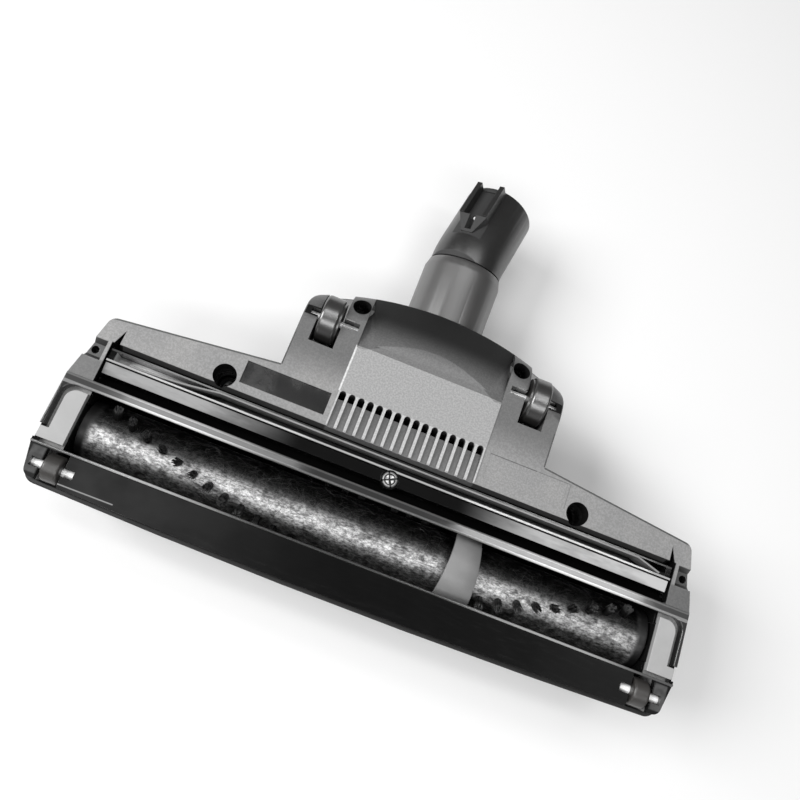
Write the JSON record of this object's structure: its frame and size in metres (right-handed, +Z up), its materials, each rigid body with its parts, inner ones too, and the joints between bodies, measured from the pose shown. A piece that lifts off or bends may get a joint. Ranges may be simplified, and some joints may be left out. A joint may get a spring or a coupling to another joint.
{
  "type": "vacuum floor brush head",
  "caption": "Wide floor head for a vacuum cleaner: an air turbine drives a bristle roller by belt, with small wheels, a tilting neck and a swivelling wand socket.",
  "frame": {"origin": "middle of the footprint on the floor, the head lying on its top cover with the sole facing up as pictured; turn it half a turn about X for use", "axes": "+X across the head to the right, +Y from the front bumper to the wand socket, +Z up, out of the sole"},
  "size_m": [0.282, 0.209, 0.0633],
  "materials": {
    "shell_grey": "fine textured grey",
    "gloss_black": "glossy",
    "cover_dark": "glossy",
    "bumper_rubber": "matt",
    "lip_rubber": "satin",
    "pad_grey": "satin",
    "belt_cover_grey": "satin",
    "belt_rubber": "matt",
    "roller_grey": "dusty",
    "bristle_black": "bristle",
    "steel": "bright",
    "bush": "plain",
    "turbine_plastic": "plain",
    "wheel_plastic": "satin",
    "tyre_rubber": "matt",
    "neck_grey": "satin",
    "connector_dark": "satin"
  },
  "bodies": {
    "housing": {"base_housing": "shell_grey", "sole_frame": "gloss_black", "top_cover": "cover_dark", "front_bumper": "bumper_rubber", "rear_lip": "lip_rubber", "belt_cover": "belt_cover_grey", "drive_belt": "belt_rubber", "turbine_housing": "turbine_plastic", "sole_screw": "steel", "housing_screws": "steel", "end_cap_left": "pad_grey", "end_cap_right": "pad_grey", "brush_bearing_left": "bush", "brush_bearing_right": "bush", "turbine_bearing_left": "bush", "turbine_bearing_right": "bush", "rear_axle_left": "steel", "rear_axle_right": "steel", "front_axle_left": "steel", "front_axle_right": "steel"},
    "brush": {"brush_core": "roller_grey", "bristle_tufts": "bristle_black", "brush_axle": "steel"},
    "turbine": {"turbine_rotor": "turbine_plastic", "turbine_shaft": "steel", "turbine_pulley": "turbine_plastic"},
    "neck": {"tilt_neck": "neck_grey"},
    "connector": {"swivel_connector": "connector_dark", "swivel_ring": "turbine_plastic"},
    "rear_roller_left": {"rear_wheel_left": "wheel_plastic", "rear_tyre_left": "tyre_rubber"},
    "rear_roller_right": {"rear_wheel_right": "wheel_plastic", "rear_tyre_right": "tyre_rubber"},
    "front_roller_left": {"front_wheel_left": "wheel_plastic"},
    "front_roller_right": {"front_wheel_right": "wheel_plastic"}
  },
  "joints": [
    {"name": "brush_spin", "type": "hinge", "parent": "housing", "child": "brush", "pos_m": [0, -0.07297, 0.0395], "axis": [1, 0, 0], "continuous": true},
    {"name": "turbine_spin", "type": "hinge", "parent": "housing", "child": "turbine", "pos_m": [0, -0.03147, 0.0265], "axis": [1, 0, 0], "continuous": true},
    {"name": "rear_left_spin", "type": "hinge", "parent": "housing", "child": "rear_roller_left", "pos_m": [-0.0486, 0.00723, 0.0525], "axis": [1, 0, 0], "continuous": true},
    {"name": "rear_right_spin", "type": "hinge", "parent": "housing", "child": "rear_roller_right", "pos_m": [0.0486, 0.00723, 0.0525], "axis": [1, 0, 0], "continuous": true},
    {"name": "front_left_spin", "type": "hinge", "parent": "housing", "child": "front_roller_left", "pos_m": [-0.1267, -0.09397, 0.0542], "axis": [1, 0, 0], "continuous": true},
    {"name": "front_right_spin", "type": "hinge", "parent": "housing", "child": "front_roller_right", "pos_m": [0.1267, -0.09397, 0.0542], "axis": [1, 0, 0], "continuous": true},
    {"name": "neck_tilt", "type": "hinge", "parent": "housing", "child": "neck", "pos_m": [0, 0.01003, 0.025], "axis": [1, 0, 0], "range_deg": [-70, 0]},
    {"name": "connector_swivel", "type": "hinge", "parent": "neck", "child": "connector", "pos_m": [0, 0.0635, 0.03252], "axis": [0, 0.9903, 0.1392], "continuous": true}
  ],
  "couplings": [
    {"joint": "turbine_spin", "follows": "brush_spin", "ratio": 2.4}
  ]
}
